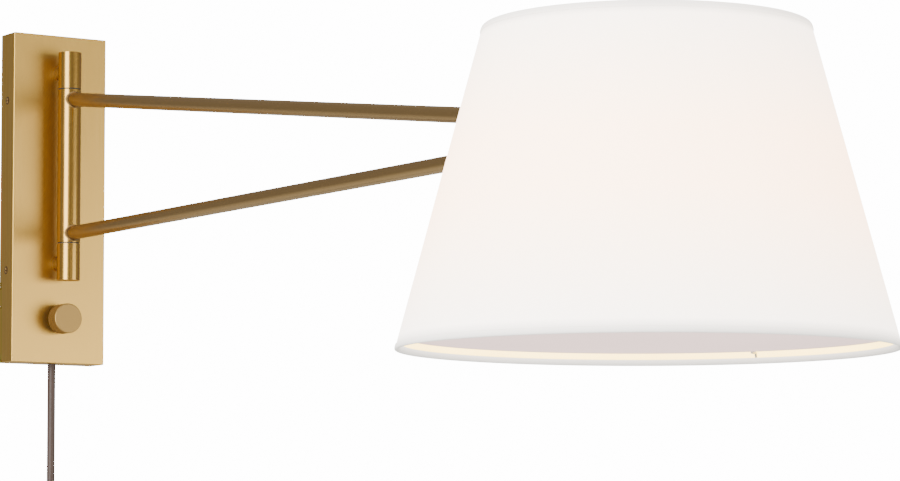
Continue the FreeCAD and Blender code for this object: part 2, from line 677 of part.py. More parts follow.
def make_shade():
    hole = eyelet_prism("eyelet_hole", "eyelet_skin")
    low, high = "hem_height", "(shade_height - hem_height)"
    fabric = cut("shade_fabric", shade_skin("fabric_blank", "0", "fabric_skin", low, high), hole)
    liner = cut("shade_liner", shade_skin("liner_blank", "fabric_skin", SKINS, low, high), hole)
    sandwich = shade_skin("eyelet_blank", "-eyelet_skin", f"{SKINS} + eyelet_skin", low, high)
    flange = common("eyelet_flange", sandwich, eyelet_prism("eyelet_outline", "eyelet_lip"))
    cut("shade_eyelet", flange, eyelet_prism("eyelet_opening", "0"), fabric, liner)

    hem_offsets = ("-hem_proud", f"{SKINS} + hem_inside")
    ring = doc.addObject("Part::Torus", "shade_bottom_ring")
    ring_radius = (f"shade_bottom_radius - {SHADE_SLOPE} * hem_height / 2"
                   f" - ({SKINS} + hem_inside - hem_proud) / 2")
    bind(ring, ("0", SHADE_Y, f"{SHADE_LOW} + hem_height / 2"), Radius1=ring_radius, Radius2="hem_wire / 2")
    cut("shade_bottom_trim", shade_skin("bottom_trim_blank", *hem_offsets, "0", "hem_height"), ring)
    shade_skin("shade_top_trim", *hem_offsets, high, "shade_height")

    diffuser_top = "(diffuser_recess + diffuser_thickness)"
    diffuser_radius = f"shade_bottom_radius - {SHADE_SLOPE} * {diffuser_top} - {SKINS} - body_gap"
    cylinder("diffuser", diffuser_radius, "diffuser_thickness",
             ("0", SHADE_Y, f"{SHADE_LOW} + diffuser_recess"))


def shade_point(radius, angle, level):
    """Point at a distance from the shade's axis, at an angle from the wall, clockwise seen from above."""
    turn = math.radians(angle)
    return (radius * math.sin(turn), Place.shade_y + radius * math.cos(turn), level)


def make_wire_frames():
    """Spider that hangs the shade on the socket, and the hooks that hold the diffuser."""
    size = Place.size
    lean = math.hypot(1, Place.shade_slope)

    def inner_radius(height, wire):
        """Distance from the axis of a wire that touches the lining at a height above the shade's rim."""
        return size["shade_bottom_radius"] - Place.shade_slope * height - Place.skins - wire / 2 * lean

    wire = size["spider_wire"]
    ring_height = size["shade_height"] - size["hem_height"] - wire / 2
    ring_radius = inner_radius(ring_height, wire)
    ring_centre = FreeCAD.Vector(*shade_point(0, 0, Place.shade_low + ring_height))
    ring = Part.makeTorus(ring_radius, wire / 2, ring_centre)
    washer_low = Place.ring_low - size["spider_washer_thickness"]
    washer_radius = Place.socket_radius + size["spider_washer_wall"]
    centre = FreeCAD.Vector(*shade_point(0, 0, washer_low))
    washer = Part.makeCylinder(washer_radius, size["spider_washer_thickness"], centre)
    hole = Part.makeCylinder(Place.socket_radius, size["spider_washer_thickness"], centre)
    middle = (Place.ring_low + washer_low) / 2
    legs = [wire_between(shade_point(washer_radius - wire / 2, angle, middle),
                         shade_point(ring_radius, angle, Place.shade_low + ring_height), wire)
            for angle in (60, 180, 300)]
    placed_shape("shade_spider", washer.cut(hole).fuse([ring, *legs]))

    clip = size["clip_wire"]
    hook_height = size["diffuser_recess"] - clip / 2
    hooks = []
    for angle in (0, 120, 240):
        angle += size["clip_angle"]
        foot_height = size["hem_height"] + clip * Place.shade_slope / 2
        foot = shade_point(inner_radius(foot_height, clip), angle, Place.shade_low + foot_height)
        bend = shade_point(inner_radius(hook_height, clip), angle, Place.shade_low + hook_height)
        tip = shade_point(inner_radius(hook_height, clip) - size["clip_hook"], angle,
                          Place.shade_low + hook_height)
        knee = Part.makeSphere(clip / 2, FreeCAD.Vector(*bend))
        hooks.append(wire_between(foot, bend, clip).fuse([knee, wire_between(bend, tip, clip)]))
    group("diffuser_clips", [placed_shape(f"diffuser_clip_{k}", hook) for k, hook in enumerate(hooks)])


# ---------------------------------------------------------------------------------------------
# Dimmer low on the plate
# ---------------------------------------------------------------------------------------------

def make_dimmer():
    inside = ("0", f"{PLATE_FRONT} + plate_skin", DIMMER_Z)
    root = ("0", f"{PLATE_FRONT} + plate_skin + dimmer_shaft_root", DIMMER_Z)
    case = box("dimmer_case", "dimmer_width", "dimmer_depth", "dimmer_height",
               ("0", f"{PLATE_FRONT} + plate_skin + dimmer_depth / 2", f"{DIMMER_Z} - dimmer_height / 2"))
    well = cylinder("dimmer_well", "dimmer_shaft_diameter / 2 + body_gap",
                    "dimmer_shaft_root + body_gap", inside, ALONG_Y_IN)
    cut("dimmer_body", case, well)
    threads = cylinder("bushing_threads", "dimmer_bushing_diameter / 2", "dimmer_bushing_length",
                       inside, ALONG_Y_OUT)
    bearing = cylinder("bushing_bearing", "dimmer_shaft_diameter / 2 + running_fit",
                       "dimmer_bushing_length", inside, ALONG_Y_OUT)
    cut("dimmer_bushing", threads, bearing)
    nut = hexagon("dimmer_nut_blank", "dimmer_nut_across", "dimmer_nut_height",
                  ("0", PLATE_FRONT, DIMMER_Z), ALONG_Y_OUT)
    cut("dimmer_nut", nut, threads)
    shaft_length = "dimmer_shaft_root + plate_skin + knob_gap + knob_grip"
    shaft = cylinder("dimmer_shaft", "dimmer_shaft_diameter / 2", shaft_length, root, ALONG_Y_OUT)

    knob_place = ("0", f"{PLATE_FRONT} - knob_gap", DIMMER_Z)
    blank = cylinder("knob_blank", "knob_diameter / 2", "knob_length", knob_place, ALONG_Y_OUT)
    rounded = doc.addObject("Part::Chamfer", "knob_bevelled")
    doc.recompute()
    rounded.Base = blank
    rims = [index for index, edge in enumerate(blank.Shape.Edges, start=1)
            if isinstance(edge.Curve, Part.Circle)]
    bevel = Place.size["knob_bevel"]
    rounded.Edges = [(index, bevel, bevel) for index in rims]
    screw_place = ("0", f"{PLATE_FRONT} - knob_gap - knob_grip / 2",
                   f"{DIMMER_Z} - dimmer_shaft_diameter / 2")
    screw = cylinder("knob_set_screw", "knob_screw_diameter / 2", "knob_diameter / 4", screw_place, DOWN)
    screw_hole = cylinder("knob_screw_hole", "knob_screw_diameter / 2", "knob_diameter / 2",
                          screw_place, DOWN)
    cut("dimmer_knob", rounded, shaft, screw_hole)


# ---------------------------------------------------------------------------------------------
# Supply cord with its strain relief, coil, tie and plug; inner leads up to the socket
# ---------------------------------------------------------------------------------------------

def make_cord():
    size = Place.size
    exit_y = -size["cord_setback"]
    plate_low = -size["plate_height"] / 2
    cord_top = plate_low + size["dimmer_lift"] - size["dimmer_height"] / 2
    floor = ("0", "-cord_setback", "plate_skin - plate_height / 2")
    block = box("relief_block", "relief_width", "relief_depth", "relief_height", floor)
    neck = cylinder("relief_neck_ring", "relief_neck / 2", "plate_skin", floor, DOWN)
    grip = cylinder("relief_grip", "cord_diameter / 2", "plate_height",
                    ("0", "-cord_setback", "-plate_height"))
    cut("strain_relief", fuse("relief_blank", block, neck), grip)

    coil_z = -size["coil_drop"]
    tube_along("supply_cord", [
        (0.0, exit_y, cord_top),
        (0.0, exit_y, -214.0),
        (-12.0, exit_y, -234.0),
        (-28.0, exit_y, -254.0),
        (-36.5, exit_y, -281.0),
    ], size["cord_diameter"])
    coil = doc.addObject("Part::Torus", "cord_coil")
    bind(coil, ("0", "-cord_setback", "-coil_drop"), turn=ALONG_Y_OUT,
         Radius1="coil_radius", Radius2="coil_section")
    band = cylinder("tie_blank", "coil_section + tie_skin", "tie_width",
                    ("-coil_radius", "-cord_setback", "-coil_drop - tie_width / 2"))
    cut("cord_tie", band, coil)

    tail_x = -size["coil_radius"] - size["cord_diameter"]
    tail_low = coil_z - size["tail_length"]
    tail = wire_between((tail_x, exit_y, coil_z - 2 * size["coil_section"]), (tail_x, exit_y, tail_low),
                        size["cord_diameter"])
    placed_shape("cord_tail", tail)

    middle = "(-coil_radius - cord_diameter)"
    body = new_body("plug_body")
    outline = sketch_on(body, "XY_Plane", "plug_outline")
    outline.setExpression(".AttachmentOffset.Base.z", bound("-coil_drop - tail_length"))
    rectangle(outline, "plug_width", "plug_thickness", middle, "-cord_setback")
    moulding = pad(body, outline, "plug_moulding", "plug_length", reverse=True)
    doc.recompute()
    rounded = body.newObject("PartDesign::Fillet", "plug_rounding")
    top = moulding.Shape.BoundBox.ZMax
    soft_edges = [f"Edge{index}" for index, edge in enumerate(moulding.Shape.Edges, start=1)
                  if any(corner.Z > top - 0.1 for corner in edge.Vertexes)]
    rounded.Base = (moulding, soft_edges)
    rounded.setExpression("Radius", bound("plug_thickness / 5"))
    blades = [box(f"plug_blade_{tag}", "blade_thickness", "blade_width", "blade_length",
                  (f"{middle} + {side} * blade_spacing / 2", "-cord_setback",
                   "-coil_drop - tail_length - plug_length - blade_length"))
              for tag, side in (("left", -1), ("right", 1))]
    group("plug_blades", blades)


def make_leads():
    """Thin leads inside: dimmer to the pivot, and pivot along the lower rod to the socket."""
    size = Place.size
    post_z = Place.span_low - size["knuckle_length"] / 2
    cap_z = Place.socket_high + size["socket_cap_height"] / 2
    riser_y = Place.shade_y + Place.riser
    dimmer_top = size["dimmer_lift"] - size["plate_height"] / 2 + size["dimmer_height"] / 2
    meeting = Place.span_low + size["bush_flange"]
    lead_y = size["lead_depth"] - size["plate_depth"]
    tube_along("base_lead", [
        (0.0, lead_y, dimmer_top),
        (0.0, lead_y, post_z),
        (0.0, Place.column_y, post_z),
        (0.0, Place.column_y, meeting),
    ], size["lead_diameter"], bend=size["base_lead_bend"])
    tube_along("lamp_lead", [
        (0.0, Place.column_y, meeting + size["wire_gap"]),
        (0.0, Place.column_y, Place.lower_arm),
        (0.0, riser_y, Place.lower_arm),
        (0.0, riser_y, cap_z),
        (0.0, Place.shade_y + size["socket_dome_radius"], cap_z),
    ], size["lead_diameter"], bend=size["lamp_lead_bend"])


# ---------------------------------------------------------------------------------------------
# Assembly
# ---------------------------------------------------------------------------------------------

cover_screws = make_cover_screws()
make_cover(cover_screws)
make_bracket(cover_screws)
lower_washer, lower_nut = make_knuckle_end("lower", SPAN_LOW, DOWN, UP)
upper_washer, upper_nut = make_knuckle_end("upper", SPAN_HIGH, UP, DOWN)
group("post_washers", [lower_washer, upper_washer])
group("post_nuts", [lower_nut, upper_nut])
rod_forms = make_rod_forms()
tube_room = make_swivel([rod_forms["lower", "blank"], rod_forms["upper", "blank"]])
for which in ("lower", "upper"):
    cut(f"{which}_arm", rod_forms[which, "blank"], rod_forms[which, "bore"], tube_room)
make_hub(rod_forms)
make_bulb(make_socket())
make_shade()
make_wire_frames()
make_dimmer()
make_cord()
make_leads()

NODES = [
    "backplate_cover", "cover_screws", "wall_bracket", "post_washers", "post_nuts",
    "lower_post", "upper_post", "lower_knuckle", "upper_knuckle", "lower_bush", "upper_bush",
    "swivel_tube", "lower_stub", "upper_stub", "lower_arm", "upper_arm", "arm_hub", "hub_set_screw",
    "socket_shell", "socket_cap", "socket_insulator", "socket_screw_shell", "socket_contact",
    "socket_ring_nut", "bulb_glass", "bulb_base",
    "shade_fabric", "shade_liner", "shade_top_trim", "shade_bottom_trim", "shade_bottom_ring",
    "shade_spider", "shade_eyelet", "diffuser", "diffuser_clips",
    "dimmer_body", "dimmer_bushing", "dimmer_nut", "dimmer_shaft", "dimmer_knob", "knob_set_screw",
    "strain_relief", "supply_cord", "cord_coil", "cord_tie", "cord_tail", "plug_body", "plug_blades",
    "base_lead", "lamp_lead",
]

doc.recompute()
for item in doc.Objects:
    if "Invalid" in item.State or "Error" in item.State:
        raise RuntimeError(f"{item.Name} failed: {item.State}")
for node in NODES:
    shape = doc.getObject(node).Shape
    if shape.isNull() or not shape.isValid() or not shape.Solids:
        raise RuntimeError(f"{node} has no valid solid")

os.makedirs("parts", exist_ok=True)
for node in NODES:
    doc.getObject(node).Label = node
    doc.getObject(node).Shape.exportStep(f"parts/{node}.step")
    print(node, len(doc.getObject(node).Shape.Solids), round(doc.getObject(node).Shape.Volume, 1))
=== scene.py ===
"""Swing arm wall sconce: what is seen of it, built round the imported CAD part."""

import math

import bmesh
import bpy
from mathutils import Matrix, Vector, noise


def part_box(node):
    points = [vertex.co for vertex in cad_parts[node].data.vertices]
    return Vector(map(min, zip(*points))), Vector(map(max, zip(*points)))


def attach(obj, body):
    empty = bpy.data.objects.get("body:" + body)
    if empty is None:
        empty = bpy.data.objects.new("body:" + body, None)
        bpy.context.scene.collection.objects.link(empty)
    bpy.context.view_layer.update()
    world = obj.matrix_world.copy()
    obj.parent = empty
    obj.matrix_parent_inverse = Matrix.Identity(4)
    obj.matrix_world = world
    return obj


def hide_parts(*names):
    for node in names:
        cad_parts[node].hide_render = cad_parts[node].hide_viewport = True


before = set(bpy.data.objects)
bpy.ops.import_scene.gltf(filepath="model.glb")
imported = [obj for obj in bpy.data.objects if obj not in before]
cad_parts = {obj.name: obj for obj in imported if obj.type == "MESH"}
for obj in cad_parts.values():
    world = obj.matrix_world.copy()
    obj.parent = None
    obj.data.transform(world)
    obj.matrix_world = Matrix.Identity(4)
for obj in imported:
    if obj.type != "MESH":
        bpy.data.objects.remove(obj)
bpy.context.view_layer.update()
MM = 0.001


def middle(node):
    low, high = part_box(node)
    return (Vector(low) + Vector(high)) / 2


SHADE = middle("shade_fabric")
COLUMN = middle("swivel_tube")
AXIS_Y = SHADE.y
BOTTOM_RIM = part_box("shade_bottom_trim")[0][2]
TOP_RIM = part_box("shade_top_trim")[1][2]


# ---------------------------------------------------------------------------------------------
# Camera
# ---------------------------------------------------------------------------------------------

def make_camera():
    data = bpy.data.cameras.new("camera")
    data.sensor_width = 36.0
    data.lens = 139.38
    data.shift_y = 0.0994
    camera = bpy.data.objects.new("camera", data)
    camera.location = (-1.08665, -2.18437, -0.26656)
    camera.rotation_euler = (math.radians(90 + 4.17), 0, math.radians(-33.09))
    bpy.context.collection.objects.link(camera)
    bpy.context.scene.camera = camera


make_camera()


# ---------------------------------------------------------------------------------------------
# Materials
# ---------------------------------------------------------------------------------------------

class Graph:
    """A node tree, with short ways to add the nodes that the finishes need."""

    def __init__(self, tree):
        self.tree = tree

    def node(self, kind, **settings):
        made = self.tree.nodes.new(kind)
        for key, value in settings.items():
            setattr(made, key, value)
        return made

    def link(self, source, target):
        self.tree.links.new(source, target)

    def feed(self, value, socket):
        """Links another node's output to the socket, or sets a plain number, vector or colour."""
        if isinstance(value, bpy.types.NodeSocket):
            self.link(value, socket)
        elif socket.type == "RGBA":
            socket.default_value = (*value, 1)
        else:
            socket.default_value = value

    def math(self, operation, *values):
        made = self.node("ShaderNodeMath", operation=operation)
        for socket, value in zip(made.inputs, values):
            self.feed(value, socket)
        return made.outputs[0]

    def noise(self, place, cells, detail, coarseness):
        """Noise with this many cells to the metre along each axis."""
        mapping = self.node("ShaderNodeMapping")
        self.link(place, mapping.inputs["Vector"])
        self.feed(cells, mapping.inputs["Scale"])
        made = self.node("ShaderNodeTexNoise")
        made.inputs["Scale"].default_value = 1.0
        self.feed(detail, made.inputs["Detail"])
        self.feed(coarseness, made.inputs["Roughness"])
        self.link(mapping.outputs["Vector"], made.inputs["Vector"])
        return made.outputs["Fac"]

    def span(self, value, low, high, from_low=0.3, from_high=0.7):
        """The value's usual range spread over another range; noise mostly lies from 0.3 to 0.7."""
        made = self.node("ShaderNodeMapRange")
        limits = {"From Min": from_low, "From Max": from_high, "To Min": low, "To Max": high}
        for name, limit in limits.items():
            self.feed(limit, made.inputs[name])
        self.link(value, made.inputs["Value"])
        return made.outputs["Result"]

    def mix(self, factor, first, second):
        made = self.node("ShaderNodeMix", data_type="RGBA")
        self.link(factor, made.inputs["Factor"])
        self.feed(first, made.inputs["A"])
        self.feed(second, made.inputs["B"])
        return made.outputs["Result"]


def start_group(name, takes, gives):
    """Node group with these named inputs and outputs; gives its graph and its two ends."""
    tree = bpy.data.node_groups.new(name, "ShaderNodeTree")
    for in_out, sockets in (("INPUT", takes), ("OUTPUT", gives)):
        for label, kind in sockets.items():
            tree.interface.new_socket(label, in_out=in_out, socket_type=f"NodeSocket{kind}")
    graph = Graph(tree)
    return graph, graph.node("NodeGroupInput").outputs, graph.node("NodeGroupOutput").inputs


def grain_group():
    """Fine texture of a surface: height for a bump, mask from 0 to 1, roughness from low to high."""
    takes = {"Place": "Vector", "Cells": "Vector", "Detail": "Float", "Coarseness": "Float",
             "Low": "Float", "High": "Float"}
    graph, given, out = start_group("surface_grain", takes,
                                    {"Height": "Float", "Mask": "Float", "Roughness": "Float"})
    height = graph.noise(given["Place"], given["Cells"], given["Detail"], given["Coarseness"])
    graph.link(height, out["Height"])
    graph.link(graph.span(height, 0.0, 1.0), out["Mask"])
    graph.link(graph.span(height, given["Low"], given["High"]), out["Roughness"])
    return graph.tree


def mottle_group():
    """Broad soft patches in which up to a share of the second colour shows in the first."""
    takes = {"Place": "Vector", "Cells": "Vector", "Detail": "Float", "Share": "Float",
             "First": "Color", "Second": "Color"}
    graph, given, out = start_group("colour_mottle", takes, {"Colour": "Color"})
    cloud = graph.noise(given["Place"], given["Cells"], given["Detail"], 0.5)
    patches = graph.span(cloud, 0.0, given["Share"])
    graph.link(graph.mix(patches, given["First"], given["Second"]), out["Colour"])
    return graph.tree


GRAIN = grain_group()
MOTTLE = mottle_group()


class Shader(Graph):
    """A material with its Principled node, on which the values that are even all over are set."""

    def __init__(self, name, colour, roughness, metallic=0.0, **settings):
        self.material = bpy.data.materials.new(name)
        self.material.use_nodes = True
        super().__init__(self.material.node_tree)
        self.principled = self.tree.nodes["Principled BSDF"]
        self.principled.inputs["Base Color"].default_value = (*colour, 1)
        self.principled.inputs["Roughness"].default_value = roughness
        self.principled.inputs["Metallic"].default_value = metallic
        for socket, value in settings.items():
            self.principled.inputs[socket.replace("_", " ")].default_value = value
        self.place = self.node("ShaderNodeTexCoord").outputs["Object"]

    def group(self, tree, **values):
        made = self.node("ShaderNodeGroup", node_tree=tree)
        for label, value in values.items():
            self.feed(value, made.inputs[label])
        return made.outputs

    def grain(self, cells, low=0.0, high=1.0, detail=2.0, coarseness=0.5, place=None):
        """Fine texture; cells to the metre are one number, or one for each axis."""
        return self.group(GRAIN, Place=place or self.place, Cells=each_way(cells), Detail=detail,
                          Coarseness=coarseness, Low=low, High=high)

    def mottle(self, cells, first, second, share=1.0, detail=2.0):
        return self.group(MOTTLE, Place=self.place, Cells=each_way(cells), Detail=detail, Share=share,
                          First=first, Second=second)["Colour"]

    def colour(self, source):
        self.link(source, self.principled.inputs["Base Color"])

    def roughness(self, source):
        self.link(source, self.principled.inputs["Roughness"])

    def bump(self, height, distance, strength=1.0):
        made = self.node("ShaderNodeBump")
        made.inputs["Strength"].default_value = strength
        made.inputs["Distance"].default_value = distance
        self.link(height, made.inputs["Height"])
        self.link(made.outputs["Normal"], self.principled.inputs["Normal"])

    def glow(self, source, strength):
        self.link(source, self.principled.inputs["Emission Color"])
        self.principled.inputs["Emission Strength"].default_value = strength


def each_way(cells):
    return cells if isinstance(cells, tuple) else (cells, cells, cells)


def toned(colour, share):
    return tuple(share * part for part in colour)


def brushed_brass(name, colour, cells, roughness, streak=0.025):
    """Lacquered satin brass, brushed along the axis that has the fewest cells."""
    look = Shader(name, colour, roughness, metallic=1.0)
    streaks = look.grain(cells, roughness - streak, roughness + streak, detail=3.0, coarseness=0.6)
    fine = look.mix(streaks["Mask"], toned(colour, 1 - streak), toned(colour, 1 + streak))
    look.colour(look.mottle(14, fine, toned(colour, 1.03), share=0.4))
    look.roughness(streaks["Roughness"])
    look.bump(streaks["Height"], 0.00001, 5 * streak)
    return look.material


def plain_metal(name, colour, roughness):
    look = Shader(name, colour, roughness, metallic=1.0)
    spots = look.grain(900, roughness - 0.07, roughness + 0.09, detail=3.0)
    look.colour(look.mottle(35, colour, toned(colour, 0.82)))
    look.roughness(spots["Roughness"])
    look.bump(spots["Height"], 0.00002, 0.4)
    return look.material


def enamel(name, colour):
    look = Shader(name, colour, 0.34, Coat_Weight=0.35, Coat_Roughness=0.18)
    ripple = look.grain(420, 0.28, 0.42, detail=1.5)
    look.colour(look.mottle(60, colour, toned(colour, 0.94)))
    look.roughness(ripple["Roughness"])
    look.bump(ripple["Height"], 0.00008, 0.3)
    return look.material


def moulded(name, colour, roughness, cells=2600):
    """Moulded plastic or rubber with a fine even texture."""
    look = Shader(name, colour, roughness)
    texture = look.grain(cells, roughness - 0.06, roughness + 0.08)
    look.colour(look.mottle(80, colour, toned(colour, 1.22)))
    look.roughness(texture["Roughness"])
    look.bump(texture["Height"], 0.00003, 0.5)
    return look.material


def around_shade(look):
    """Distance round the shade and height on it, in metres, from the place on the piece."""
    mean_radius = 0.115
    split = look.node("ShaderNodeSeparateXYZ")
    look.link(look.place, split.inputs[0])
    along = look.math("SUBTRACT", split.outputs["Y"], AXIS_Y)
    angle = look.math("ARCTAN2", split.outputs["X"], along)
    return look.math("MULTIPLY", angle, mean_radius), split.outputs["Z"]


def linen(name, colour, glow, rim, hem, strength):
    """Plain weave with slubs, lit from within; the doubled edges round the wires let less light through."""
    look = Shader(name, colour, 0.88, Sheen_Weight=0.12, Sheen_Roughness=0.5)
    pitch = 0.00062
    across, up = around_shade(look)
    warp = look.math("SINE", look.math("MULTIPLY", across, 2 * math.pi / pitch))
    weft = look.math("SINE", look.math("MULTIPLY", up, 2 * math.pi / pitch))
    checker = look.math("MULTIPLY", warp, weft)
    joined = look.node("ShaderNodeCombineXYZ")
    look.link(across, joined.inputs["X"])
    look.link(up, joined.inputs["Y"])
    threads = joined.outputs["Vector"]
    slub_up = look.grain((1 / pitch, 60, 1), detail=3.0, place=threads)["Height"]
    slub_across = look.grain((60, 1 / pitch, 1), detail=3.0, place=threads)["Height"]
    slubs = look.math("ADD", slub_up, slub_across)
    height = look.math("ADD", look.math("MULTIPLY", checker, 0.22), slubs)
    thick = look.span(slubs, 0.0, 1.0, 0.75, 1.25)
    look.colour(look.mix(thick, colour, toned(colour, 0.97)))
    look.roughness(look.span(slubs, 0.82, 0.94, 0.75, 1.25))
    look.bump(height, 0.00006, 0.35)

    brightest = SHADE.z + 0.005
    from_bulb = look.math("ABSOLUTE", look.math("SUBTRACT", up, brightest))
    open_cloth = look.mix(look.span(from_bulb, 1.0, 0.0, 0.015, 0.085), rim, glow)
    above_bottom_hem = look.span(up, 0.0, 1.0, BOTTOM_RIM + 0.0002, BOTTOM_RIM + 0.0075)
    below_top_hem = look.span(up, 1.0, 0.35, TOP_RIM - 0.0065, TOP_RIM - 0.002)
    shine = look.mix(look.math("MULTIPLY", above_bottom_hem, below_top_hem), hem, open_cloth)
    look.glow(look.mix(look.math("MULTIPLY", thick, 0.035), shine, hem), strength)
    return look.material


def lining(name):
    """Smooth lining film, warm with the bulb's light."""
    look = Shader(name, (0.86, 0.82, 0.74), 0.55)
    film = look.grain(1500, 0.5, 0.62)
    look.colour(look.mottle(26, (0.88, 0.84, 0.76), (0.84, 0.80, 0.715)))
    look.roughness(film["Roughness"])
    look.bump(film["Height"], 0.00003, 0.4)
    look.glow(look.mottle(26, (1.0, 0.68, 0.16), (0.95, 0.63, 0.14)), 8.0)
    return look.material


def opal(name, colour, glow, strength):
    """Milky glass or plastic that the light comes through."""
    look = Shader(name, colour, 0.42)
    skin = look.grain(2200, 0.36, 0.5)
    look.colour(look.mottle(9, colour, toned(colour, 0.96), detail=1.0))
    look.roughness(skin["Roughness"])
    look.bump(skin["Height"], 0.00002, 0.4)
    look.glow(look.mottle(9, glow, toned(glow, 0.93), detail=1.0), strength)
    return look.material


def woven_strap(name):
    look = Shader(name, (0.03, 0.03, 0.032), 0.8, Sheen_Weight=0.3)
    rib_pitch = 0.0008
    split = look.node("ShaderNodeSeparateXYZ")
    look.link(look.place, split.inputs[0])
    ribs = look.math("SINE", look.math("MULTIPLY", split.outputs["Z"], 2 * math.pi / rib_pitch))
    nap = look.grain(1800, 0.7, 0.9, detail=3.0)
    look.colour(look.mix(nap["Mask"], (0.022, 0.022, 0.024), (0.05, 0.05, 0.053)))
    look.roughness(nap["Roughness"])
    look.bump(look.math("ADD", look.math("MULTIPLY", ribs, 0.3), nap["Height"]), 0.00015, 0.6)
    return look.material


UPRIGHT_GRAIN = (2400, 2400, 30)
LEVEL_GRAIN = (2400, 30, 2400)
LOOKS = {
    # These five brass looks are one satin brass in lit and shaded copies: each is tinted lighter or darker
    # for how the light falls on its parts, and the copies for the rods, the knob, and the screws and weld
    # collars are darkened as painted shade.
    "plate_brass": brushed_brass("plate_brass", (0.83, 0.510, 0.120), UPRIGHT_GRAIN, 0.34),
    "column_brass": brushed_brass("column_brass", (0.79, 0.460, 0.105), UPRIGHT_GRAIN, 0.19),
    "rod_shaded_brass": brushed_brass("rod_shaded_brass", (0.60, 0.395, 0.165), LEVEL_GRAIN, 0.30, streak=0.01),
    "knob_shaded_brass": brushed_brass("knob_shaded_brass", (0.40, 0.250, 0.080), 900, 0.52),
    "shadow_dark_brass": brushed_brass("shadow_dark_brass", (0.24, 0.145, 0.055), 900, 0.45),
    "steel": plain_metal("zinc_steel", (0.56, 0.57, 0.58), 0.36),
    "bright_brass": plain_metal("bright_brass", (0.78, 0.58, 0.27), 0.22),
    "white_enamel": enamel("white_enamel", (0.82, 0.82, 0.79)),
    "nylon": moulded("bush_nylon", (0.030, 0.026, 0.022), 0.5),
    "black_plastic": moulded("black_plastic", (0.026, 0.026, 0.028), 0.42),
    "phenolic": moulded("socket_phenolic", (0.020, 0.019, 0.018), 0.3, cells=1200),
    "cord": moulded("cord_brown", (0.040, 0.021, 0.013), 0.55, cells=1500),
    "lead": moulded("lead_insulation", (0.62, 0.59, 0.52), 0.5),
    "linen": linen("shade_linen", (0.80, 0.79, 0.77), glow=(1.0, 0.62, 0.36), rim=(0.66, 0.575, 0.50),
                   hem=(0.09, 0.084, 0.070), strength=7.6),
    "lining": lining("shade_lining"),
    "diffuser": opal("diffuser_acrylic", (0.74, 0.70, 0.69), (1.0, 0.67, 0.60), 1.6),
    "bulb": opal("bulb_frosted", (0.9, 0.88, 0.84), (1.0, 0.72, 0.36), 30.0),
    "strap": woven_strap("tie_strap"),
}


# ---------------------------------------------------------------------------------------------
# Mesh helpers
# ---------------------------------------------------------------------------------------------

def new_piece(name, mesh, look, slot, body, *stands_for):
    """Object with its material, the body it rides on and the CAD nodes it stands for; the slot is not used.
    """
    piece = bpy.data.objects.new(name, mesh)
    bpy.context.collection.objects.link(piece)
    mesh.materials.clear()
    mesh.materials.append(LOOKS[look])
    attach(piece, body)
    if stands_for:
        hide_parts(*stands_for)
    return piece


def finish_mesh(work, name, sharp_angle=35):
    """Mesh from a bmesh, shaded smooth but for edges sharper than the angle."""
    bmesh.ops.recalc_face_normals(work, faces=work.faces)
    mesh = bpy.data.meshes.new(name)
    work.to_mesh(mesh)
    work.free()
    mesh.shade_smooth()
    mesh.set_sharp_from_angle(angle=math.radians(sharp_angle))
    return mesh


def even_normals(mesh, sharp_angle=40):
    """Corner normals weighted by area, so that a flat face stays flat up to its softened edge."""
    limit = math.cos(math.radians(sharp_angle))
    around = [[] for _ in mesh.vertices]
    for face in mesh.polygons:
        for vertex in face.vertices:
            around[vertex].append((face.normal.copy(), face.area))
    normals = []
    for face in mesh.polygons:
        for vertex in face.vertices:
            total = Vector()
            for normal, area in around[vertex]:
                if normal.dot(face.normal) > limit:
                    total += normal * area
            normals.append(total.normalized())
    mesh.normals_split_custom_set(normals)


def softened(node, look, slot, body, bevel=0.00018, segments=2):
    """The CAD node's own shape with its hard edges broken, so that they catch the light."""
    same_point, same_plane, hard_angle = 0.000002, math.radians(0.6), 0.6
    work = bmesh.new()
    work.from_mesh(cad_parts[node].data)
    bmesh.ops.remove_doubles(work, verts=work.verts, dist=same_point)
    bmesh.ops.dissolve_limit(work, angle_limit=same_plane, verts=work.verts, edges=work.edges)
    hard = [edge for edge in work.edges
            if len(edge.link_faces) == 2 and edge.calc_face_angle() > hard_angle]
    bmesh.ops.bevel(work, geom=hard, offset=bevel, segments=segments, profile=0.6, affect="EDGES",
                    clamp_overlap=True)
    mesh = finish_mesh(work, f"{node}_form", 40)
    even_normals(mesh)
    return new_piece(f"{node}_finished", mesh, look, slot, body, node)


def skin(work, rows):
    """Faces between rows of the same count of vertices, each row a closed ring."""
    for low, high in zip(rows, rows[1:]):
        for k in range(len(low)):
            work.faces.new((low[k], low[k - 1], high[k - 1], high[k]))


def rings_mesh(name, rings, capped=False, sharp_angle=35):
    """Skin through rings of points, which has caps at its ends or else closes on its first ring."""
    work = bmesh.new()
    rows = [[work.verts.new(point) for point in ring] for ring in rings]
    if capped:
        skin(work, rows)
        work.faces.new(rows[0])
        work.faces.new(rows[-1])
    else:
        skin(work, rows + rows[:1])
    return finish_mesh(work, name, sharp_angle)


def lathe_rings(profile, centre, axis, steps, shape=None):
    """Rings about an axis from pairs of radius and travel; the shape function may change a radius."""
    turn = Vector((0, 0, 1)).rotation_difference(Vector(axis)).to_matrix()
    rings = []
    for index, (radius, travel) in enumerate(profile):
        ring = []
        for k in range(steps):
            angle = 2 * math.pi * k / steps
            reach = shape(radius, index, angle) if shape else radius
            across = (reach * math.cos(angle), reach * math.sin(angle))
            ring.append(Vector(centre) + turn @ Vector((*across, travel)))
        rings.append(ring)
    return rings


# ---------------------------------------------------------------------------------------------
# Cord: straight down from the plate, into its coil, and to its plug
# ---------------------------------------------------------------------------------------------

